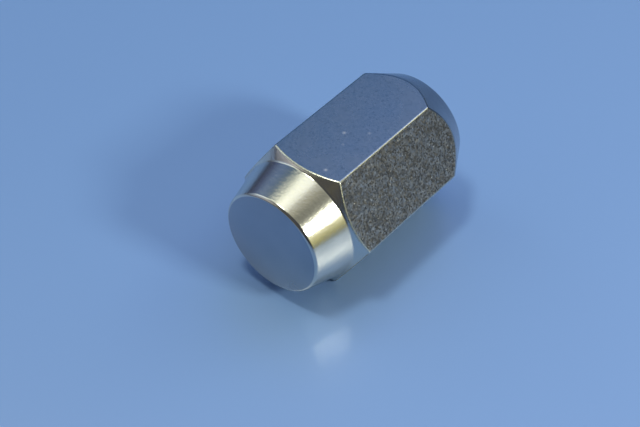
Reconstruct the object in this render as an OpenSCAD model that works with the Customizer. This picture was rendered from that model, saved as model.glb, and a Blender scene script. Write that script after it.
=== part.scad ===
// Closed-end lug nut with a 60 degree conical seat.
//
// One solid piece of plated steel. Read from the open end to the closed one it has a conical
// seat, a wrench hex whose corners are cut by that cone, a hex whose other corners are cut by a
// flatter chamfer, a tapered boss and a slightly crowned end face with a rounded rim. The
// threaded bore is blind: it opens at the seat and stops inside the boss.
//
// All lengths are in millimetres. The axis lies along Y with the open end at y = 0 facing +Y,
// and the nut lies on one of its flats, so +Z is up.

/* [Wrench hex] */

// Width across opposite flats
across_flats = 21; // [18:0.5:27]

// Length of a hex corner, from the chamfer to the conical seat
corner_length = 21; // [14:0.5:28]

// Radius that rounds the six long corners
corner_round = 0.4; // [0.2:0.05:0.8]

// Tilt of the corner chamfer from the plane of the closed end
chamfer_angle = 36; // [20:1:45]

/* [Closed end] */

// Ledge left between a flat and the foot of the boss
boss_ledge = 0.35; // [0.2:0.05:1]

// Length of the boss along the axis, from its foot to the end face
boss_length = 6.5; // [4:0.25:9]

// Taper of the boss on each side
boss_taper = 14; // [6:0.5:18]

// Hollow radius at the foot of the boss
root_round = 0.5; // [0.3:0.05:0.8]

// Radius of the rim between the boss and the end face
rim_round = 0.6; // [0.4:0.05:1]

// Height of the crown in the middle of the end face
crown_rise = 0.8; // [0.4:0.1:1.4]

/* [Conical seat] */

// Full angle of the seat cone
seat_angle = 60; // [50:1:75]

// Flat ring between the mouth of the bore and the seat
seat_land = 2.27; // [1:0.01:3]

// Radius where the ring turns into the seat
seat_round = 0.3; // [0.2:0.05:0.5]

/* [Threaded bore] */

// Nominal diameter of the thread
thread_diameter = 12; // [10:0.5:13]

// Pitch of the thread
thread_pitch = 1.5; // [1:0.25:2]

// How far the mouth countersink opens past the thread's own radius
mouth_clearance = 0.3; // [0.1:0.05:0.6]

// Full angle of the mouth countersink
mouth_angle = 90; // [80:5:120]

// Metal left between the drill point and the top of the crown
closed_wall = 5.5; // [3:0.5:8]

// Full angle of the drill point at the bottom of the bore
drill_angle = 118; // [90:1:140]

/* [Hidden] */

// Sides of the hex, and the inner angle at each of its corners
sides = 6;
inner_angle = 180 - 360 / sides;

// Cutting shapes run this far past the surface that they cut
overrun = 1;

// A round is drawn this much fuller than tangent, so it crosses its two neighbours cleanly
blend_margin = 0.0005;

// Facets drawn in a preview; the solid itself is truly round
$fn = 96;

// Hex: radius to the sharp corners
flat_r = across_flats / 2;
corner_r = flat_r / sin(inner_angle / 2);

// Bore: radius of the thread's crests, of the thread's roots and of the mouth
crest_r = thread_diameter / 2 - 5 / 16 * sqrt(3) * thread_pitch;
mouth_r = thread_diameter / 2 + mouth_clearance;
mouth_depth = (mouth_r - crest_r) / tan(mouth_angle / 2);
point_depth = crest_r / tan(drill_angle / 2);

// Stations along the axis, measured from the open end
seat_end_r = mouth_r + seat_land;
seat_z = -(corner_r - seat_end_r) / tan(seat_angle / 2);
chamfer_z = seat_z - corner_length;
boss_r = flat_r - boss_ledge;
boss_z = chamfer_z - (corner_r - boss_r) * tan(chamfer_angle);
face_z = boss_z - boss_length;
face_r = boss_r - boss_length * tan(boss_taper);
tip_z = face_z - crown_rise;
point_z = tip_z + closed_wall;
bore_z = point_z + point_depth;

// Crown: a shallow dome through the edge of the end face
crown_r = (face_r * face_r + crown_rise * crown_rise) / (2 * crown_rise);
crown_centre = [0, tip_z + crown_r];

function unit(v) = v / norm(v);

// Half of the angle at corner p between the edges that run to a and to b
function half_angle(p, a, b) = acos(unit(a - p) * unit(b - p)) / 2;

// Where a round of radius r in that corner touches the edge that runs to a
function touch(p, a, b, r) = p + unit(a - p) * r / tan(half_angle(p, a, b));

// Centre of that round
function centre(p, a, b, r) =
    p + unit(unit(a - p) + unit(b - p)) * r / sin(half_angle(p, a, b));

// The corner replaced by the outline through the round's centre
function relieved(p, a, b, r) = [touch(p, a, b, r), centre(p, a, b, r), touch(p, b, a, r)];

// Profile corners as [radius, station along the axis]
mouth_edge = [seat_end_r, 0];
axis_open = [0, 0];
seat_outer = [corner_r + overrun, seat_z - overrun / tan(seat_angle / 2)];
chamfer_outer = [corner_r + overrun, chamfer_z + overrun * tan(chamfer_angle)];
boss_foot = [boss_r, boss_z];
boss_edge = [face_r, face_z];

// Rim: its centre lies one radius inside both the boss and the crown
boss_run = unit(boss_edge - boss_foot);
boss_inward = [boss_run[1], -boss_run[0]];
rim_start = boss_foot + boss_inward * rim_round - crown_centre;
rim_reach = rim_start * boss_run;
rim_travel = sqrt(rim_reach * rim_reach - rim_start * rim_start
    + (crown_r - rim_round) * (crown_r - rim_round)) - rim_reach;
rim_centre = boss_foot + boss_inward * rim_round + boss_run * rim_travel;
rim_on_boss = rim_centre - boss_inward * rim_round;
rim_past_crown = rim_centre + unit(rim_centre - crown_centre) * (rim_round + overrun);

// A round disc of the profile
module round_at(c, r) {
    translate(c)
        circle(r = r + blend_margin);
}

// Seat, hex envelope and boss, down to the level of the rim's centre
module body_profile() {
    difference() {
        polygon(concat(
            [axis_open, [0, rim_centre[1]], rim_centre, rim_on_boss],
            relieved(boss_foot, boss_edge, chamfer_outer, root_round),
            [chamfer_outer, seat_outer],
            relieved(mouth_edge, seat_outer, axis_open, seat_round)
        ));
        round_at(centre(boss_foot, chamfer_outer, boss_edge, root_round), root_round);
    }
}

// Crowned end below the level of the rim's centre
module crown_profile() {
    intersection() {
        translate(crown_centre)
            circle(r = crown_r);
        polygon([
            [0, tip_z - overrun],
            rim_past_crown,
            rim_centre,
            [0, rim_centre[1]]
        ]);
    }
}

// Everything that is turned on the lathe, as one half section
module turned_profile() {
    union() {
        body_profile();
        crown_profile();
        round_at(rim_centre, rim_round);
        round_at(centre(mouth_edge, axis_open, seat_outer, seat_round), seat_round);
    }
}

// Corner k of the sharp hexagon
function hex_corner(k) = corner_r * [cos(k * 360 / sides), sin(k * 360 / sides)];

// Hexagon of the bar with its long corners rounded
module hex_section() {
    polygon([
        for (k = [0 : sides - 1])
            each relieved(hex_corner(k), hex_corner(k - 1), hex_corner(k + 1), corner_round)
    ]);
    for (k = [0 : sides - 1])
        round_at(
            centre(hex_corner(k), hex_corner(k - 1), hex_corner(k + 1), corner_round),
            corner_round
        );
}

// Hex bar, a little longer than the nut at both ends
module hex_bar() {
    translate([0, 0, tip_z - overrun])
        linear_extrude(height = 2 * overrun - tip_z)
            hex_section();
}

// Drilled and countersunk bore, out through the open end
module bore_void() {
    rotate_extrude()
        polygon([
            [0, point_z],
            [crest_r, bore_z],
            [crest_r, -mouth_depth],
            [mouth_r + overrun * tan(mouth_angle / 2), overrun],
            [0, overrun]
        ]);
}

// The whole nut: the bar cut to the turned shape, then drilled
module lug_nut() {
    color("silver")
        rotate([-90, 0, 0])
            difference() {
                intersection() {
                    hex_bar();
                    rotate_extrude()
                        turned_profile();
                }
                bore_void();
            }
}

lug_nut();
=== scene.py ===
"""Closed-end lug nut: its dressed shape, its plated finish and the studio that shows it.

The nut lies on one of its flats. Its axis runs along Y with the open end at y = 0 facing +Y,
and +Z is up. Every length is in metres.
"""

import logging
import math
from collections.abc import Callable
from dataclasses import dataclass, field
from enum import Enum
from typing import ClassVar

import bmesh
import bpy
from mathutils import Matrix, Quaternion, Vector

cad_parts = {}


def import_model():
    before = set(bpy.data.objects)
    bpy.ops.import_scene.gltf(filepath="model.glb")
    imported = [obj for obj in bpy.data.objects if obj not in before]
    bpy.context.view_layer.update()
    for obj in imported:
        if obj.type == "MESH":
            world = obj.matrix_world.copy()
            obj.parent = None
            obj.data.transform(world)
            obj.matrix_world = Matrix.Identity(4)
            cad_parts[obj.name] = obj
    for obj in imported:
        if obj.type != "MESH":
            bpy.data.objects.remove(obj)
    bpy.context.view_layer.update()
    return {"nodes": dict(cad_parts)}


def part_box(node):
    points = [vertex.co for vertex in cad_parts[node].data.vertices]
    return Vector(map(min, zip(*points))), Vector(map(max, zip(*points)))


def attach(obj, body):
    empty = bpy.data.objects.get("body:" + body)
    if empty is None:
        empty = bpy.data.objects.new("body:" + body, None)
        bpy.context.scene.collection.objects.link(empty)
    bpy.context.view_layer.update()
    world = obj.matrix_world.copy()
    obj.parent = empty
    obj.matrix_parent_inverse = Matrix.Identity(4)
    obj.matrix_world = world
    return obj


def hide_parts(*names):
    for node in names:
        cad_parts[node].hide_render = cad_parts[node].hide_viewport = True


MM = 0.001
FULL_TURN = 2 * math.pi
WELD = 1e-7  # points nearer than this are one point
NEAR = 1e-6  # a point this far off still counts as in its place
SQUARE_ON = 0.9999  # the cosine above which a face counts as facing a direction
NODE = "lug_nut"
BODY = "root"

log = logging.getLogger("lug_nut")

Colour = tuple[float, float, float]
Triple = tuple[float, float, float]


# ---------------------------------------------------------------------------------------------
# Working at the bench: modes, selections and edit-mode steps
# ---------------------------------------------------------------------------------------------


def clear_selection() -> None:
    """Leaves object mode with nothing selected and nothing active."""
    if bpy.context.mode != "OBJECT":
        bpy.ops.object.mode_set(mode="OBJECT")
    bpy.ops.object.select_all(action="DESELECT")
    bpy.context.view_layer.objects.active = None


def take(piece: bpy.types.Object) -> None:
    """Makes a piece the one selected, active object.

    Args:
        piece: the object.
    """
    clear_selection()
    piece.select_set(True)
    bpy.context.view_layer.objects.active = piece


def open_mesh(piece: bpy.types.Object) -> None:
    """Takes a piece into edit mode with nothing in its mesh selected.

    Args:
        piece: the object.
    """
    take(piece)
    bpy.ops.object.mode_set(mode="EDIT")
    bpy.ops.mesh.select_all(action="DESELECT")


def close_mesh() -> None:
    """Returns from edit mode to object mode."""
    bpy.ops.object.mode_set(mode="OBJECT")


def name_piece(name: str) -> bpy.types.Object:
    """Names the object that was just added and settles its place into its mesh.

    Args:
        name: the name for the object and its mesh.

    Returns:
        The object, at the origin, unturned and unscaled.
    """
    piece = bpy.context.active_object
    piece.name = name
    piece.data.name = name
    bpy.ops.object.transform_apply(location=True, rotation=True, scale=True)
    return piece


def pick_edges(piece: bpy.types.Object, wanted: Callable[[bmesh.types.BMEdge], bool]) -> None:
    """Selects the edges that pass a test, and nothing else.

    Args:
        piece: the object in edit mode.
        wanted: says whether an edge is taken.
    """
    bpy.ops.mesh.select_mode(type="EDGE")
    bpy.ops.mesh.select_all(action="DESELECT")
    mesh = bmesh.from_edit_mesh(piece.data)
    for edge in [edge for edge in mesh.edges if wanted(edge)]:
        edge.select_set(True)
    bmesh.update_edit_mesh(piece.data)


def pick_faces(piece: bpy.types.Object, wanted: Callable[[bmesh.types.BMFace], bool]) -> None:
    """Selects the faces that pass a test, and nothing else.

    Args:
        piece: the object in edit mode.
        wanted: says whether a face is taken.
    """
    bpy.ops.mesh.select_mode(type="FACE")
    bpy.ops.mesh.select_all(action="DESELECT")
    mesh = bmesh.from_edit_mesh(piece.data)
    mesh.normal_update()
    for face in [face for face in mesh.faces if wanted(face)]:
        face.select_set(True)
    bmesh.update_edit_mesh(piece.data)


def coat_selected(piece: bpy.types.Object, surface: "Surface") -> None:
    """Gives the selected faces one of the nut's surfaces."""
    piece.active_material_index = surface.value
    bpy.ops.object.material_slot_assign()


def round_selected(offset: float, segments: int, surface: "Surface | None" = None) -> None:
    """Rounds the selected edges.

    Args:
        offset: how far from each edge the round starts, along both of its faces.
        segments: how many facets the round has.
        surface: the surface that the round gets, or None for that of its neighbours.
    """
    bpy.ops.mesh.bevel(
        offset_type="OFFSET",
        offset=offset,
        segments=segments,
        profile=0.5,
        affect="EDGES",
        clamp_overlap=False,
        loop_slide=True,
        material=-1 if surface is None else surface.value,
    )


def cut_away(piece: bpy.types.Object, tool: bpy.types.Object) -> None:
    """Cuts one closed shape out of another and throws the tool away.

    Args:
        piece: what is cut.
        tool: the shape that is removed from it.
    """
    take(piece)
    bpy.ops.object.modifier_add(type="BOOLEAN")
    cut = piece.modifiers[-1]
    cut.operation = "DIFFERENCE"
    cut.solver = "EXACT"
    cut.object = tool
    bpy.ops.object.modifier_apply(modifier=cut.name)
    take(tool)
    bpy.ops.object.delete()
    take(piece)


# ---------------------------------------------------------------------------------------------
# Finishes
# ---------------------------------------------------------------------------------------------


class Surface(Enum):
    """The surfaces of the nut, in the order of its material slots."""

    TURNED = 0
    FLATS = 1
    EDGES = 2
    SATIN = 3
    BORE = 4
    TOP_FLAT = 5


class NodeSheet:
    """A node tree that is filled one node at a time."""

    def __init__(self, tree: bpy.types.NodeTree) -> None:
        """Starts on a tree, which is emptied first."""
        self.tree = tree
        tree.nodes.clear()

    def add(self, kind: str, **settings: object) -> bpy.types.Node:
        """Adds a node.

        Args:
            kind: the node's type name.
            **settings: the node's own settings.

        Returns:
            The new node.
        """
        node = self.tree.nodes.new(kind)
        for key, value in settings.items():
            setattr(node, key, value)
        return node

    def feed(self, socket: bpy.types.NodeSocket, value: object) -> None:
        """Gives an input socket its value.

        Args:
            socket: the input socket.
            value: a plain value, or an output socket to link from.
        """
        if isinstance(value, bpy.types.NodeSocket):
            self.tree.links.new(value, socket)
        else:
            socket.default_value = value

    def set(self, node: bpy.types.Node, **values: object) -> bpy.types.Node:
        """Feeds input sockets by name, with underscores for spaces.

        Args:
            node: the node.
            **values: a plain value, or an output socket to link from.

        Returns:
            The same node.
        """
        for key, value in values.items():
            self.feed(node.inputs[key.replace("_", " ")], value)
        return node

    def math(self, operation: str, *terms: object) -> bpy.types.NodeSocket:
        """Adds a Math node.

        Args:
            operation: the node's operation.
            *terms: the numbers, or output sockets to link from.

        Returns:
            The node's result.
        """
        node = self.add("ShaderNodeMath", operation=operation)
        for socket, term in zip(node.inputs, terms):
            self.feed(socket, term)
        return node.outputs[0]

    def vector(self, operation: str, *terms: object, scale: object = None) -> bpy.types.NodeSocket:
        """Adds a Vector Math node.

        Args:
            operation: the node's operation.
            *terms: the vectors, or output sockets to link from.
            scale: the factor of the SCALE operation, as a number or a socket.

        Returns:
            The node's vector.
        """
        node = self.add("ShaderNodeVectorMath", operation=operation)
        for socket, term in zip(node.inputs, terms):
            self.feed(socket, term)
        if scale is not None:
            self.set(node, Scale=scale)
        return node.outputs[0]

    def spread(
        self,
        value: bpy.types.NodeSocket,
        low: float,
        high: float,
        to_low: float,
        to_high: float,
        smooth: bool = False,
    ) -> bpy.types.NodeSocket:
        """Adds a clamped Map Range.

        Args:
            value: the number to remap.
            low: the value that becomes to_low.
            high: the value that becomes to_high.
            to_low: the result at and below low.
            to_high: the result at and above high.
            smooth: eases the result in and out.

        Returns:
            The remapped number.
        """
        ease = "SMOOTHSTEP" if smooth else "LINEAR"
        node = self.add("ShaderNodeMapRange", interpolation_type=ease)
        for socket, number in zip(node.inputs, (value, low, high, to_low, to_high)):
            self.feed(socket, number)
        return node.outputs[0]

    def bump(
        self, height: bpy.types.NodeSocket, distance: float, under: bpy.types.NodeSocket | None
    ) -> bpy.types.NodeSocket:
        """Adds a Bump node.

        Args:
            height: the relief, from 0 to 1.
            distance: how high 1 stands, in metres.
            under: the normal that the relief stands on, if it isn't the surface's own.

        Returns:
            The bumped normal.
        """
        node = self.set(self.add("ShaderNodeBump"), Height=height, Distance=distance, Strength=1.0)
        if under is not None:
            self.set(node, Normal=under)
        return node.outputs["Normal"]

    def mix(self, share: object, first: object, second: object) -> bpy.types.NodeSocket:
        """Adds a colour Mix node.

        Args:
            share: how much of the second colour there is, as a number or a socket.
            first: the first colour, or a socket.
            second: the second colour, or a socket.

        Returns:
            The mixed colour.
        """
        node = self.add("ShaderNodeMix", data_type="RGBA")
        for name, value in (("Factor_Float", share), ("A_Color", first), ("B_Color", second)):
            self.feed(next(s for s in node.inputs if s.identifier == name), value)
        return next(s for s in node.outputs if s.identifier == "Result_Color")

    def close(self, kind: str, shader: bpy.types.Node) -> None:
        """Ends the tree with an output node that takes the shader as its surface."""
        self.set(self.add(kind), Surface=shader.outputs[0])


class GroupSheet(NodeSheet):
    """The tree of a shader node group that works on a place in the piece, named Vector."""

    def __init__(self, name: str, inputs: dict[str, float], outputs: dict[str, str]) -> None:
        """Starts the group with its named sockets.

        Args:
            name: the group's name.
            inputs: the name and the value of each number that the group takes.
            outputs: the name and the socket type of each result.
        """
        super().__init__(bpy.data.node_groups.new(name, "ShaderNodeTree"))
        sockets = self.tree.interface
        sockets.new_socket("Vector", in_out="INPUT", socket_type="NodeSocketVector")
        for label, value in inputs.items():
            socket = sockets.new_socket(label, in_out="INPUT", socket_type="NodeSocketFloat")
            socket.default_value = value
        for label, kind in outputs.items():
            sockets.new_socket(label, in_out="OUTPUT", socket_type=kind)
        self.source = self.add("NodeGroupInput")
        self.sink = self.add("NodeGroupOutput")

    def given(self, name: str) -> bpy.types.NodeSocket:
        """Finds what the group is given under a name."""
        return self.source.outputs[name]

    def put(self, name: str, result: bpy.types.NodeSocket) -> None:
        """Sends a result out of the group."""
        self.feed(self.sink.inputs[name], result)

    def noise(
        self, place: bpy.types.NodeSocket, scale: object, detail: float, roughness: float
    ) -> bpy.types.NodeSocket:
        """Adds a Noise Texture node.

        Args:
            place: where the noise is read.
            scale: how fine it is.
            detail: how many finer layers it has.
            roughness: how strong each finer layer is.

        Returns:
            The noise, from 0 to 1.
        """
        return self.set(
            self.add("ShaderNodeTexNoise"),
            Vector=place,
            Scale=scale,
            Detail=detail,
            Roughness=roughness,
        ).outputs[0]

    def cells(self, scale: object) -> bpy.types.Node:
        """Adds a Voronoi Texture node of a scale, whose cells each have a random colour."""
        node = self.add("ShaderNodeTexVoronoi", feature="F1")
        return self.set(node, Vector=self.given("Vector"), Scale=scale)

    def draw(self, cells: bpy.types.Node) -> bpy.types.NodeSocket:
        """Takes one random number from 0 to 1 for each cell."""
        split = self.add("ShaderNodeSeparateColor")
        return self.set(split, Color=cells.outputs["Color"]).outputs["Red"]


@dataclass
class SurfaceEffects:
    """The patterns that the nut's finishes share, each built once as a node group."""

    FACET_LAYERS: ClassVar[tuple[tuple[float, float], ...]] = ((1.0, 1.0), (1.9, 0.6))
    CLOUD_SPAN: ClassVar[tuple[float, float]] = (0.3, 0.7)
    SPECK_SPAN: ClassVar[tuple[float, float]] = (0.05, 0.28)
    AXIS_GAP: ClassVar[float] = 1e-5

    grain: bpy.types.NodeTree = field(init=False)
    facets: bpy.types.NodeTree = field(init=False)
    cloud: bpy.types.NodeTree = field(init=False)
    glint_specks: bpy.types.NodeTree = field(init=False)
    marks: bpy.types.NodeTree = field(init=False)

    def __post_init__(self) -> None:
        """Builds the groups."""
        self.grain = self._grain()
        self.facets = self._facets()
        self.cloud = self._cloud()
        self.glint_specks = self._glint_specks()
        self.marks = self._marks()

    def _grain(self) -> bpy.types.NodeTree:
        """Builds the soft relief of orange peel.

        Returns:
            A group that puts out a Height from 0 to 1.
        """
        sheet = GroupSheet("soft_grain", {"Size": 1000.0}, {"Height": "NodeSocketFloat"})
        relief = sheet.noise(sheet.given("Vector"), sheet.given("Size"), detail=2.0, roughness=0.5)
        sheet.put("Height", relief)
        return sheet.tree

    def _facets(self) -> bpy.types.NodeTree:
        """Builds the sparkle of blasted steel, whose tiny facets each lean their own way.

        Returns:
            A group that puts out a Normal, and a mask of the pits from 0 to 1, where the finish
            paints shade.
        """
        sheet = GroupSheet(
            "blasted_facets",
            {"Size": 3000.0, "Lean": 0.2, "Share": 0.3},
            {"Normal": "NodeSocketVector", "PaintedPitShade": "NodeSocketFloat"},
        )
        normal = sheet.add("ShaderNodeNewGeometry").outputs["Normal"]
        layers = []
        for step, share in self.FACET_LAYERS:
            cells = sheet.cells(sheet.math("MULTIPLY", sheet.given("Size"), step))
            layers.append(cells)
            side = sheet.vector(
                "MULTIPLY_ADD", cells.outputs["Color"], (2.0, 2.0, 2.0), (-1.0, -1.0, -1.0)
            )
            reach = sheet.math("MULTIPLY", sheet.given("Lean"), share)
            normal = sheet.vector("ADD", normal, sheet.vector("SCALE", side, scale=reach))
        sheet.put("Normal", sheet.vector("NORMALIZE", normal))
        # The pits are random cells of the facets; the finish darkens them as painted shade.
        fill = sheet.math("DIVIDE", sheet.draw(layers[0]), sheet.given("Share"))
        sheet.put("PaintedPitShade", sheet.math("MAXIMUM", sheet.math("SUBTRACT", 1.0, fill), 0.0))
        return sheet.tree

    def _cloud(self) -> bpy.types.NodeTree:
        """Builds the slow drift in tone that plating has.

        Returns:
            A group that puts out a Mask from 0 to 1.
        """
        sheet = GroupSheet("plating_cloud", {"Size": 150.0}, {"Mask": "NodeSocketFloat"})
        drift = sheet.noise(sheet.given("Vector"), sheet.given("Size"), detail=4.0, roughness=0.55)
        sheet.put("Mask", sheet.spread(drift, *self.CLOUD_SPAN, 0.0, 1.0))
        return sheet.tree

    def _glint_specks(self) -> bpy.types.NodeTree:
        """Builds scattered pale specks: painted glints that stand in for the sparkle of the grain.

        Returns:
            A group that puts out a Mask from 0 to 1, mostly 0.
        """
        sheet = GroupSheet(
            "painted_glint_specks", {"Size": 700.0, "Share": 0.06}, {"Mask": "NodeSocketFloat"}
        )
        cells = sheet.cells(sheet.given("Size"))
        lucky = sheet.math("LESS_THAN", sheet.draw(cells), sheet.given("Share"))
        core = sheet.spread(cells.outputs["Distance"], *self.SPECK_SPAN, 1.0, 0.0)
        sheet.put("Mask", sheet.math("MULTIPLY", lucky, core))
        return sheet.tree

    def _marks(self) -> bpy.types.NodeTree:
        """Builds the faint marks that a turning tool leaves round a surface.

        Returns:
            A group that puts out a Height from 0 to 1.
        """
        sheet = GroupSheet(
            "turning_marks", {"Breaks": 60.0, "Lines": 150.0}, {"Height": "NodeSocketFloat"}
        )
        split = sheet.set(sheet.add("ShaderNodeSeparateXYZ"), Vector=sheet.given("Vector"))
        x, y, z = split.outputs
        radius = sheet.math("SQRT", sheet.math("MULTIPLY_ADD", x, x, sheet.math("MULTIPLY", z, z)))
        away = sheet.math("MAXIMUM", radius, self.AXIS_GAP)
        across, up = (
            sheet.math("DIVIDE", sheet.math("MULTIPLY", side, sheet.given("Breaks")), away)
            for side in (x, z)
        )
        along = sheet.math("MULTIPLY", y, sheet.given("Lines"))
        turned = sheet.set(sheet.add("ShaderNodeCombineXYZ"), X=across, Y=along, Z=up)
        relief = sheet.noise(turned.outputs[0], scale=1.0, detail=4.0, roughness=0.6)
        sheet.put("Height", relief)
        return sheet.tree


@dataclass(frozen=True)
class PlatedFinish:
    """One plated steel surface: its colour, its gloss and the relief in it, with painted shade in
    its pits and painted glints in its specks.

    Sizes of patterns are in steps per metre, and heights are in metres.
    """

    name: str
    pale: Colour
    dark: Colour
    roughness: float
    roughness_drift: float = 0.06
    cloud_size: float = 160.0
    grain_size: float = 3200.0
    grain_height: float = 0.0
    facet_size: float = 3000.0
    facet_lean: float = 0.0
    # The pits are a share of the facet cells, darkened as painted shade.
    pit_share: float = 0.0
    pit_shade_depth: float = 0.5
    marks_breaks: float = 60.0
    marks_lines: float = 150.0
    marks_height: float = 0.0
    # The specks are painted glints: pale, slightly rougher spots that stand in for sparkle.
    speck_share: float = 0.0
    speck_size: float = 700.0
    painted_glint_colour: Colour = (0.8, 0.8, 0.82)
    speck_cover: float = 0.8
    speck_roughness: float = 0.25

    def material(self, effects: SurfaceEffects) -> bpy.types.Material:
        """Builds the finish as a material.

        Args:
            effects: the shared node groups.

        Returns:
            The material.
        """
        material = bpy.data.materials.new(self.name)
        material.use_nodes = True
        sheet = NodeSheet(material.node_tree)
        place = sheet.add("ShaderNodeTexCoord").outputs["Object"]

        def effect(group: bpy.types.NodeTree, **values: float) -> bpy.types.Node:
            """Adds one of the shared groups with its own values."""
            node = sheet.add("ShaderNodeGroup", node_tree=group)
            return sheet.set(node, Vector=place, **values)

        cloud = effect(effects.cloud, Size=self.cloud_size).outputs["Mask"]
        colour = sheet.mix(cloud, (*self.dark, 1.0), (*self.pale, 1.0))
        dull, glossy = self.roughness + self.roughness_drift, self.roughness - self.roughness_drift
        rough = sheet.spread(cloud, 0.0, 1.0, dull, glossy)
        relief = None
        if self.facet_lean > 0:
            facets = effect(
                effects.facets, Size=self.facet_size, Lean=self.facet_lean, Share=self.pit_share
            )
            relief = facets.outputs["Normal"]
            # Painted shade: the pits take a darker copy of the dark colour.
            shaded = tuple(channel * (1 - self.pit_shade_depth) for channel in self.dark)
            colour = sheet.mix(facets.outputs["PaintedPitShade"], colour, (*shaded, 1.0))
        # Painted glints: pale specks laid over the colour.
        if self.speck_share > 0:
            glint_specks = effect(
                effects.glint_specks, Size=self.speck_size, Share=self.speck_share
            ).outputs["Mask"]
            rough = sheet.math("MULTIPLY_ADD", glint_specks, self.speck_roughness, rough)
            cover = sheet.math("MULTIPLY", glint_specks, self.speck_cover)
            colour = sheet.mix(cover, colour, (*self.painted_glint_colour, 1.0))
        if self.marks_height > 0:
            marks = effect(effects.marks, Breaks=self.marks_breaks, Lines=self.marks_lines)
            relief = sheet.bump(marks.outputs["Height"], self.marks_height, relief)
        if self.grain_height > 0:
            grain = effect(effects.grain, Size=self.grain_size)
            relief = sheet.bump(grain.outputs["Height"], self.grain_height, relief)
        shader = sheet.set(
            sheet.add("ShaderNodeBsdfPrincipled"), Base_Color=colour, Metallic=1.0, Roughness=rough
        )
        if relief is not None:
            sheet.set(shader, Normal=relief)
        sheet.close("ShaderNodeOutputMaterial", shader)
        return material


@dataclass(frozen=True)
class NutFinishes:
    """The finish of each surface of the nut."""

    turned: PlatedFinish = PlatedFinish(
        "bright_turned_plate",
        pale=(0.70, 0.695, 0.64),
        dark=(0.62, 0.615, 0.56),
        roughness=0.2,
        roughness_drift=0.03,
        marks_height=0.02 * MM,
        marks_breaks=20.0,
        marks_lines=2600.0,
    )
    flats: PlatedFinish = PlatedFinish(
        "satin_grained_plate",
        pale=(0.70, 0.665, 0.59),
        dark=(0.26, 0.247, 0.219),
        roughness=0.35,
        roughness_drift=0.03,
        cloud_size=700.0,
        facet_size=3900.0,
        facet_lean=0.07,
        # Painted shade in the pits and painted glints in the pale specks.
        pit_share=0.9,
        pit_shade_depth=0.4,
        speck_share=0.16,
        speck_size=2600.0,
        painted_glint_colour=(0.98, 0.98, 0.95),
    )
    # The flat that faces up takes a lit copy of the grained finish, toned on its own, with little
    # painted pit shade and greyer painted glints.
    top_flat: PlatedFinish = PlatedFinish(
        "top_flat_lit_copy_plate",
        pale=(0.545, 0.54, 0.475),
        dark=(0.52, 0.515, 0.455),
        roughness=0.27,
        roughness_drift=0.03,
        facet_size=3800.0,
        facet_lean=0.014,
        pit_share=0.1,
        pit_shade_depth=0.1,
        speck_share=0.08,
        painted_glint_colour=(0.66, 0.67, 0.66),
    )
    edges: PlatedFinish = PlatedFinish(
        "worn_bright_edge",
        pale=(0.61, 0.62, 0.55),
        dark=(0.49, 0.50, 0.44),
        roughness=0.28,
        roughness_drift=0.04,
        cloud_size=700.0,
        grain_size=1500.0,
        grain_height=0.04 * MM,
    )
    satin: PlatedFinish = PlatedFinish(
        "satin_plate_painted_blue_shade",
        # Painted reflection and shade: the crown and the seat are darker and bluer than the turned
        # plate, standing in for the blue floor and the nut's shadow that they mirror.
        pale=(0.37, 0.415, 0.47),
        dark=(0.31, 0.355, 0.41),
        roughness=0.26,
        roughness_drift=0.04,
        cloud_size=110.0,
        grain_size=420.0,
        grain_height=0.012 * MM,
    )
    bore: PlatedFinish = PlatedFinish(
        "dull_thread_plate",
        pale=(0.46, 0.46, 0.46),
        dark=(0.32, 0.32, 0.33),
        roughness=0.38,
        facet_size=5000.0,
        facet_lean=0.03,
        # Painted shade in the pits of the thread's plating.
        pit_share=0.3,
    )

    def dress(self, piece: bpy.types.Object) -> None:
        """Fills the piece's material slots in the order of Surface.

        Args:
            piece: the nut.
        """
        effects = SurfaceEffects()
        by_surface = {
            Surface.TURNED: self.turned,
            Surface.FLATS: self.flats,
            Surface.EDGES: self.edges,
            Surface.SATIN: self.satin,
            Surface.BORE: self.bore,
            Surface.TOP_FLAT: self.top_flat,
        }
        for surface in Surface:
            piece.material_slots[surface.value].material = by_surface[surface].material(effects)


# ---------------------------------------------------------------------------------------------
# The nut
# ---------------------------------------------------------------------------------------------


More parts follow.
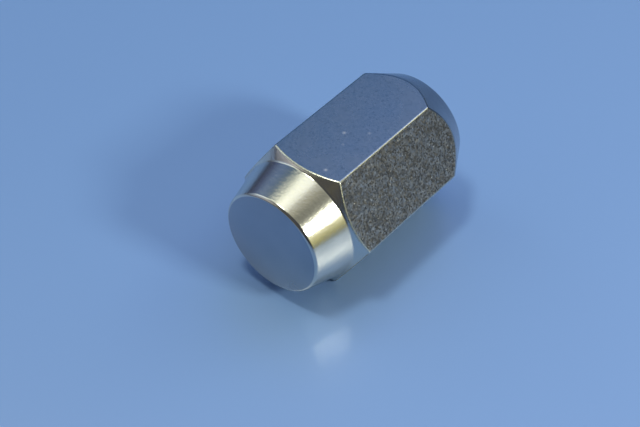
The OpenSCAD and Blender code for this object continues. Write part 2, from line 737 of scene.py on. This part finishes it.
@dataclass
class TurnedBlank:
    """The nut as it leaves the lathe: crown, boss, chamfer, seat cone and blind bore."""

    meridians: int = 240
    flat_r: float = 10.5 * MM
    corner_r: float = 10.5 * MM / math.cos(math.pi / 6)
    corner_length: float = 21 * MM
    chamfer_angle: float = math.radians(36)
    boss_ledge: float = 0.35 * MM
    boss_length: float = 6.5 * MM
    boss_taper: float = math.radians(14)
    root_round: float = 0.5 * MM
    rim_round: float = 0.6 * MM
    crown_rise: float = 0.8 * MM
    crown_rings: int = 9
    crown_margin: float = 1.6
    seat_half_angle: float = math.radians(30)
    seat_land: float = 2.27 * MM
    seat_round: float = 0.3 * MM
    rim_facets: int = 8
    root_facets: int = 5
    seat_facets: int = 4
    mouth_facets: int = 2
    mouth_r: float = 6.3 * MM
    mouth_round: float = 0.08 * MM
    crest_r: float = 5.188 * MM
    closed_wall: float = 5.5 * MM
    drill_half_angle: float = math.radians(59)
    stock: float = 0.4 * MM

    @property
    def seat_end_r(self) -> float:
        """Radius of the small end of the seat cone."""
        return self.mouth_r + self.seat_land

    @property
    def seat_y(self) -> float:
        """Station where the seat cone runs out at a hex corner."""
        return -(self.corner_r - self.seat_end_r) / math.tan(self.seat_half_angle)

    @property
    def chamfer_y(self) -> float:
        """Station where the chamfer runs out at a hex corner."""
        return self.seat_y - self.corner_length

    @property
    def foot_r(self) -> float:
        """Radius of the boss at its foot."""
        return self.flat_r - self.boss_ledge

    @property
    def foot_y(self) -> float:
        """Station of the foot of the boss."""
        return self.chamfer_y - (self.corner_r - self.foot_r) * math.tan(self.chamfer_angle)

    @property
    def face_r(self) -> float:
        """Radius of the end face before its rim is rounded."""
        return self.foot_r - self.boss_length * math.tan(self.boss_taper)

    @property
    def face_y(self) -> float:
        """Station of the end face's edge."""
        return self.foot_y - self.boss_length

    @property
    def tip_y(self) -> float:
        """Station of the top of the crown."""
        return self.face_y - self.crown_rise

    @property
    def crown_r(self) -> float:
        """Radius of the sphere that the crown is part of."""
        return (self.face_r**2 + self.crown_rise**2) / (2 * self.crown_rise)

    def crown_y(self, radius: float) -> float:
        """Station of the crown at a distance from the axis."""
        return self.tip_y + self.crown_r - math.sqrt(self.crown_r**2 - radius**2)

    def stations(self) -> list[tuple[float, float]]:
        """Lists the rings of the blank from the crown, round the outside and down the bore.

        Returns:
            (radius, station along the axis) for each ring, without the two poles.
        """
        inner = self.face_r - self.crown_margin * self.rim_round
        crown = [inner * ring / self.crown_rings for ring in range(1, self.crown_rings + 1)]
        over_r = self.corner_r + self.stock
        wall_end = self.tip_y + self.closed_wall + self.crest_r / math.tan(self.drill_half_angle)
        return [
            *((radius, self.crown_y(radius)) for radius in crown),
            (self.face_r, self.face_y),
            (self.foot_r, self.foot_y),
            (over_r, self.chamfer_y + self.stock * math.tan(self.chamfer_angle)),
            (over_r, self.seat_y - self.stock / math.tan(self.seat_half_angle)),
            (self.seat_end_r, 0.0),
            (self.mouth_r, 0.0),
            (self.crest_r, self.crest_r - self.mouth_r),
            (self.crest_r, wall_end),
        ]

    def build(self, name: str) -> bpy.types.Object:
        """Turns the blank.

        Args:
            name: the piece's name.

        Returns:
            The closed blank, with a material slot for each surface.
        """
        rings = self.stations()
        first_r, first_y = rings[0]
        clear_selection()
        bpy.ops.mesh.primitive_circle_add(
            vertices=self.meridians,
            radius=first_r,
            fill_type="NOTHING",
            location=(0, first_y, 0),
            rotation=(math.pi / 2, 0, 0),
        )
        piece = name_piece(name)
        for _ in Surface:
            piece.data.materials.append(None)
        open_mesh(piece)
        bpy.ops.mesh.select_all(action="SELECT")
        for (radius, station), (next_r, next_y) in zip(rings, rings[1:]):
            self._next_ring(station, next_y, next_r / radius)
        last_r, last_y = rings[-1]
        self._next_ring(last_y, self.tip_y + self.closed_wall, 0.0)
        self._pick_ring(piece, first_r, first_y)
        self._next_ring(first_y, self.tip_y, 0.0)
        bpy.ops.mesh.select_all(action="SELECT")
        bpy.ops.mesh.remove_doubles(threshold=WELD)
        bpy.ops.mesh.normals_make_consistent(inside=False)
        self._round_rings(piece)
        close_mesh()
        return piece

    def _next_ring(self, station: float, next_station: float, ratio: float) -> None:
        """Extrudes the selected ring to the next one.

        Args:
            station: where the selected ring is.
            next_station: where the new ring is.
            ratio: the new radius over the old one.
        """
        step = (0, next_station - station, 0)
        bpy.ops.mesh.extrude_region_move(TRANSFORM_OT_translate={"value": step})
        bpy.ops.transform.resize(value=(ratio, 1, ratio), center_override=(0, next_station, 0))

    @staticmethod
    def _pick_ring(piece: bpy.types.Object, radius: float, station: float) -> None:
        """Selects the edges of one of the blank's rings.

        Args:
            piece: the blank, in edit mode.
            radius: the ring's radius.
            station: where the ring is along the axis.
        """

        def on_ring(place: Vector) -> bool:
            """Says whether a point lies on the ring."""
            off = math.hypot(place.x, place.z) - radius
            return abs(off) < NEAR and abs(place.y - station) < NEAR

        pick_edges(piece, lambda edge: all(on_ring(v.co) for v in edge.verts))

    def _round_rings(self, piece: bpy.types.Object) -> None:
        """Rounds the rim, the foot of the boss, the seat's small end and the mouth of the bore.

        Args:
            piece: the blank, in edit mode.
        """
        crown_slope = math.asin(self.face_r / self.crown_r)
        rim_angle = math.pi / 2 + self.boss_taper + crown_slope
        foot_angle = math.pi / 2 + self.chamfer_angle + self.boss_taper
        seat_angle = math.pi / 2 + self.seat_half_angle

        def setback(radius: float, angle: float) -> float:
            """Distance from an edge to the start of its round, by the angle between its faces."""
            return radius / math.tan(angle / 2)

        rings = (
            (self.face_r, self.face_y, setback(self.rim_round, rim_angle), self.rim_facets),
            (self.foot_r, self.foot_y, setback(self.root_round, foot_angle), self.root_facets),
            (self.seat_end_r, 0.0, setback(self.seat_round, seat_angle), self.seat_facets),
            (self.mouth_r, 0.0, self.mouth_round, self.mouth_facets),
        )
        for radius, station, offset, facets in rings:
            self._pick_ring(piece, radius, station)
            round_selected(offset, facets)


@dataclass
class WrenchHex:
    """The six flats, cut on the turned blank, with rounded corners and outlines."""

    flat_r: float = 10.5 * MM
    corner_round: float = 0.4 * MM
    sides: int = 6
    segments: int = 4

    def cut(self, piece: bpy.types.Object) -> None:
        """Cuts the flats and rounds every edge that they leave.

        Args:
            piece: the turned blank.
        """
        open_mesh(piece)
        for side in range(self.sides):
            out = self.outward(side)
            bpy.ops.mesh.select_all(action="SELECT")
            bpy.ops.mesh.bisect(
                plane_co=out * self.flat_r,
                plane_no=out,
                use_fill=True,
                clear_outer=True,
                threshold=WELD,
            )
        pick_faces(piece, self.is_flat)
        coat_selected(piece, Surface.FLATS)
        pick_edges(piece, lambda edge: any(self.is_flat(face) for face in edge.link_faces))
        half_corner = math.pi / 3
        round_selected(self.corner_round / math.tan(half_corner), self.segments, Surface.EDGES)
        close_mesh()

    def outward(self, side: int) -> Vector:
        """Direction in which one of the flats faces."""
        turn = FULL_TURN * (side + 0.5) / self.sides
        return Vector((math.cos(turn), 0, math.sin(turn)))

    def is_flat(self, face: bmesh.types.BMFace) -> bool:
        """Says whether a face is one of the six flats.

        Args:
            face: a face of the nut.

        Returns:
            True if it faces as one of the flats does and lies in its plane.
        """
        middle = face.calc_center_median()
        return any(
            face.normal.dot(out) > SQUARE_ON and abs(middle.dot(out) - self.flat_r) < NEAR
            for out in map(self.outward, range(self.sides))
        )


@dataclass
class BoreThread:
    """The internal thread, a right-hand groove that winds down the bore."""

    major_r: float = 6.0 * MM
    pitch: float = 1.5 * MM
    inner_r: float = 4.95 * MM
    start_y: float = 1.5 * MM
    turns: int = 16
    steps: int = 240
    flank: float = math.radians(30)
    root_share: float = 1 / 16

    def groove(self) -> bpy.types.Object:
        """Winds the groove as a closed cutting shape.

        Returns:
            The shape to cut from the bore.
        """
        root = self.root_share * self.pitch
        heel = root + (self.major_r - self.inner_r) * math.tan(self.flank)
        clear_selection()
        bpy.ops.mesh.primitive_plane_add(
            size=1, location=((self.inner_r + self.major_r) / 2, self.start_y, 0)
        )
        bpy.context.active_object.scale = (self.major_r - self.inner_r, 2 * heel, 1)
        tool = name_piece("thread_groove")
        open_mesh(tool)
        pick_edges(tool, lambda edge: all(v.co.x > self.major_r - NEAR for v in edge.verts))
        bpy.ops.transform.resize(
            value=(1, root / heel, 1), center_override=(self.major_r, self.start_y, 0)
        )
        close_mesh()
        bpy.ops.object.modifier_add(type="SCREW")
        wind = tool.modifiers[-1]
        wind.axis = "Y"
        wind.angle = -FULL_TURN
        wind.screw_offset = -self.pitch
        wind.iterations = self.turns
        wind.steps = self.steps
        wind.render_steps = self.steps
        wind.use_merge_vertices = False
        bpy.ops.object.modifier_apply(modifier=wind.name)
        open_mesh(tool)
        for end in (self.start_y, self.start_y - self.turns * self.pitch):
            pick_edges(
                tool,
                lambda edge: edge.is_boundary
                and all(abs(v.co.y - end) < heel + WELD for v in edge.verts),
            )
            bpy.ops.mesh.edge_face_add()
        bpy.ops.mesh.select_all(action="SELECT")
        bpy.ops.transform.rotate(
            value=FULL_TURN / self.steps / 2, orient_axis="Y", center_override=(0, 0, 0)
        )
        bpy.ops.mesh.normals_make_consistent(inside=False)
        close_mesh()
        return tool

    def cut(self, piece: bpy.types.Object) -> None:
        """Cuts the thread into the bore.

        Args:
            piece: the nut with its plain bore.
        """
        cut_away(piece, self.groove())


@dataclass
class LugNut:
    """The whole nut, one closed piece."""

    blank: TurnedBlank = field(default_factory=TurnedBlank)
    hexagon: WrenchHex = field(default_factory=WrenchHex)
    thread: BoreThread = field(default_factory=BoreThread)
    finishes: NutFinishes = field(default_factory=NutFinishes)
    smooth_angle: float = math.radians(32)
    crown_facing: float = 0.96
    seat_facing: float = 0.1

    def build(self) -> bpy.types.Object:
        """Models and dresses the nut.

        Returns:
            The finished piece.
        """
        piece = self.blank.build("lug_nut_dressed")
        self.hexagon.cut(piece)
        self.thread.cut(piece)
        self._coat(piece)
        self._smooth(piece)
        self.finishes.dress(piece)
        return piece

    def _coat(self, piece: bpy.types.Object) -> None:
        """Marks the crown, the seat, the top flat and the bore as surfaces of their own.

        Args:
            piece: the nut.
        """
        open_mesh(piece)
        for surface, wanted in (
            (Surface.SATIN, self._is_satin),
            (Surface.TOP_FLAT, self._is_top_flat),
            (Surface.BORE, self._is_bore),
        ):
            pick_faces(piece, wanted)
            coat_selected(piece, surface)
        close_mesh()

    def _is_satin(self, face: bmesh.types.BMFace) -> bool:
        """Says whether a face belongs to the crown or the seat.

        Args:
            face: a face of the nut.

        Returns:
            True if it does.
        """
        station = face.calc_center_median().y
        crown = station < self.blank.face_y and face.normal.y < -self.crown_facing
        seat = station > self.blank.chamfer_y / 2 and face.normal.y > self.seat_facing
        return crown or seat

    def _is_top_flat(self, face: bmesh.types.BMFace) -> bool:
        """Says whether a face is the flat that faces up."""
        height = face.calc_center_median().z
        return face.normal.z > SQUARE_ON and height > self.hexagon.flat_r - WELD

    def _is_bore(self, face: bmesh.types.BMFace) -> bool:
        """Says whether a face lies in the bore.

        Args:
            face: a face of the nut.

        Returns:
            True if all of it is within the mouth's radius and above the bore's closed end.
        """
        reach = max(math.hypot(v.co.x, v.co.z) for v in face.verts)
        end_y = self.blank.tip_y + self.blank.closed_wall
        return reach < self.blank.mouth_r + WELD and face.calc_center_median().y > end_y - WELD

    def _smooth(self, piece: bpy.types.Object) -> None:
        """Shades the nut smooth over its rounds, with its flats truly flat.

        Args:
            piece: the nut.
        """
        take(piece)
        bpy.ops.object.shade_smooth_by_angle(angle=self.smooth_angle)
        bpy.ops.object.modifier_add(type="WEIGHTED_NORMAL")
        weigh = piece.modifiers[-1]
        weigh.mode = "FACE_AREA"
        weigh.weight = 100
        weigh.keep_sharp = True
        bpy.ops.object.modifier_apply(modifier=weigh.name)


# ---------------------------------------------------------------------------------------------
# The studio
# ---------------------------------------------------------------------------------------------


def towards(azimuth: float, elevation: float) -> Vector:
    """Direction of a place in the studio.

    Args:
        azimuth: degrees from +Y towards +X.
        elevation: degrees above the floor.

    Returns:
        The unit vector.
    """
    turn, lift = math.radians(azimuth), math.radians(elevation)
    level = math.cos(lift)
    return Vector((math.sin(turn) * level, math.cos(turn) * level, math.sin(lift)))


@dataclass(frozen=True)
class SoftLamp:
    """A rectangular soft light that looks at the nut."""

    name: str
    azimuth: float
    elevation: float
    width: float
    height: float
    brightness: float
    turn: float = 0.0
    distance: float = 0.6
    colour: Colour = (1.0, 1.0, 0.84)

    def add(self, centre: Vector) -> None:
        """Hangs the lamp.

        Args:
            centre: the point that it looks at.
        """
        away = towards(self.azimuth, self.elevation)
        lamp = bpy.data.lights.new(self.name, "AREA")
        lamp.shape = "RECTANGLE"
        lamp.size = self.width
        lamp.size_y = self.height
        lamp.energy = math.pi * self.width * self.height * self.brightness
        lamp.color = self.colour
        holder = bpy.data.objects.new(self.name, lamp)
        holder.location = centre + away * self.distance
        look = away.to_track_quat("Z", "Y") @ Quaternion((0, 0, 1), math.radians(self.turn))
        holder.rotation_euler = look.to_euler()
        bpy.context.scene.collection.objects.link(holder)


@dataclass(frozen=True)
class RoomGlow:
    """Soft light that comes from one part of the room and fades out all round it."""

    azimuth: float
    elevation: float
    reach: float
    colour: Colour


@dataclass
class Studio:
    """A pale floor, soft lamps and a dim room round them."""

    floor_colour: Colour = (0.215, 0.375, 0.72)
    floor_roughness: float = 0.38
    floor_specular: float = 1.0
    floor_ior: float = 1.6
    floor_span: float = 6.0
    floor_cells: int = 8
    lamps: tuple[SoftLamp, ...] = (
        SoftLamp("softbox_a", 81, 34, 0.11, 0.11, 41.0),
        SoftLamp("softbox_b", -142, 76, 0.1, 0.1, 29.95),
        SoftLamp("softbox_c", -90, 60, 0.1, 0.1, 1.7),
        SoftLamp("softbox_d", 15, 35, 0.2, 0.2, 2.0),
        SoftLamp("softbox_e", -60, 80, 0.16, 0.3, 0.85, turn=38),
    )
    room: Colour = (0.040, 0.045, 0.055)
    glows: tuple[RoomGlow, ...] = (
        RoomGlow(165, 28, 30, (0.043, 0.036, 0.037)),
        RoomGlow(225, 28, 30, (0.307, 0.297, 0.327)),
        RoomGlow(255, 28, 30, (0.235, 0.310, 0.430)),
        RoomGlow(285, 28, 30, (0.030, 0.038, 0.123)),
        RoomGlow(315, 28, 30, (0.000, 0.033, 0.208)),
        RoomGlow(0, 56, 32, (0.359, 0.451, 0.989)),
        RoomGlow(45, 56, 32, (0.273, 0.266, 0.198)),
        RoomGlow(0, 86, 28, (0.360, 0.336, 0.198)),
        RoomGlow(83, 10, 14, (0.440, 0.410, 0.150)),
        RoomGlow(83, 21, 13, (0.420, 0.380, 0.180)),
        RoomGlow(-65, 68, 14, (0.199, 0.189, 0.118)),
        RoomGlow(-155, 30, 16, (0.141, 0.131, 0.052)),
        RoomGlow(-100, 40, 12, (0.294, 0.292, 0.336)),
        RoomGlow(-37, 43, 50, (0.000, 0.064, 0.123)),
        RoomGlow(-122, 14, 14, (0.068, 0.070, 0.089)),
        RoomGlow(180, 3, 30, (0.047, 0.039, 0.000)),
        RoomGlow(-101, 48, 12, (1.500, 1.550, 1.150)),
        RoomGlow(-92, 31, 11, (1.400, 1.500, 1.200)),
        RoomGlow(-18, 8, 16, (0.070, 0.110, 0.190)),
        RoomGlow(-142, 24, 13, (0.326, 0.322, 0.285)),
        RoomGlow(33, 42, 12, (1.100, 1.100, 0.450)),
    )

    def build(self, floor_z: float, centre: Vector) -> None:
        """Sets up the floor, the lamps and the room.

        Args:
            floor_z: height of the floor.
            centre: the middle of the nut.
        """
        clear_selection()
        bpy.ops.mesh.primitive_grid_add(
            x_subdivisions=self.floor_cells,
            y_subdivisions=self.floor_cells,
            size=self.floor_span,
            location=(0, 0, floor_z),
        )
        floor = name_piece("studio_floor")
        floor.data.materials.append(self._paper())
        for lamp in self.lamps:
            lamp.add(centre)
        self._room()

    def _paper(self) -> bpy.types.Material:
        """Builds the floor's plain colour, with a soft sheen.

        Returns:
            The material.
        """
        material = bpy.data.materials.new("pale_floor")
        material.use_nodes = True
        sheet = NodeSheet(material.node_tree)
        shader = sheet.set(
            sheet.add("ShaderNodeBsdfPrincipled"),
            Base_Color=(*self.floor_colour, 1.0),
            Roughness=self.floor_roughness,
            Specular_IOR_Level=self.floor_specular,
            IOR=self.floor_ior,
        )
        sheet.close("ShaderNodeOutputMaterial", shader)
        return material

    def _room(self) -> None:
        """Builds the dim room as the world."""
        world = bpy.data.worlds.new("studio_room")
        world.use_nodes = True
        bpy.context.scene.world = world
        sheet = NodeSheet(world.node_tree)
        outward = sheet.add("ShaderNodeTexCoord").outputs["Generated"]
        colour: object = self.room
        for glow in self.glows:
            near = sheet.add("ShaderNodeVectorMath", operation="DOT_PRODUCT")
            sheet.feed(near.inputs[0], outward)
            sheet.feed(near.inputs[1], towards(glow.azimuth, glow.elevation))
            edge = math.cos(math.radians(glow.reach))
            share = sheet.spread(near.outputs["Value"], edge, 1.0, 0.0, 1.0, smooth=True)
            colour = sheet.vector("MULTIPLY_ADD", share, glow.colour, colour)
        shade = sheet.set(sheet.add("ShaderNodeBackground"), Color=colour, Strength=1.0)
        sheet.close("ShaderNodeOutputWorld", shade)


@dataclass
class ViewCamera:
    """The camera that looks down on the closed end and the upper flats."""

    eye: Triple = (0.10413385, -0.15667856, 0.16975707)
    aim: Triple = (-0.00057213, -0.02304022, -0.00340092)
    roll: float = math.radians(1.7405)
    lens: float = 90.0
    sensor: float = 36.0
    near: float = 0.01
    far: float = 20.0

    def add(self) -> None:
        """Adds the camera and makes it the scene's own."""
        camera = bpy.data.cameras.new("view_camera")
        camera.lens = self.lens
        camera.sensor_width = self.sensor
        camera.clip_start = self.near
        camera.clip_end = self.far
        holder = bpy.data.objects.new("view_camera", camera)
        away = Vector(self.eye) - Vector(self.aim)
        look = away.to_track_quat("Z", "Y")
        spin = Quaternion((0, 0, 1), self.roll)
        holder.matrix_world = Matrix.Translation(self.eye) @ (look @ spin).to_matrix().to_4x4()
        bpy.context.scene.collection.objects.link(holder)
        bpy.context.scene.camera = holder


def report(piece: bpy.types.Object) -> None:
    """Logs what a piece came to.

    Args:
        piece: the finished object.
    """
    piece.data.calc_loop_triangles()
    triangles = len(piece.data.loop_triangles)
    low = [round(min(corner[i] for corner in piece.bound_box) / MM, 3) for i in range(3)]
    high = [round(max(corner[i] for corner in piece.bound_box) / MM, 3) for i in range(3)]
    log.info("%s: %d triangles, from %s to %s mm", piece.name, triangles, low, high)


def main() -> None:
    """Builds the nut on its frame, then the studio, and hands the scene over."""
    logging.basicConfig(level=logging.INFO, format="%(name)s %(message)s")
    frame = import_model()
    log.info("frame holds %s", sorted(frame["nodes"]))
    low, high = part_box(NODE)
    nut = LugNut().build()
    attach(nut, BODY)
    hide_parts(NODE)
    report(nut)
    Studio().build(low.z, (low + high) / 2)
    scene = bpy.context.scene
    scene.view_settings.view_transform = "Standard"
    ViewCamera().add()
    clear_selection()


if __name__ == "__main__":
    main()
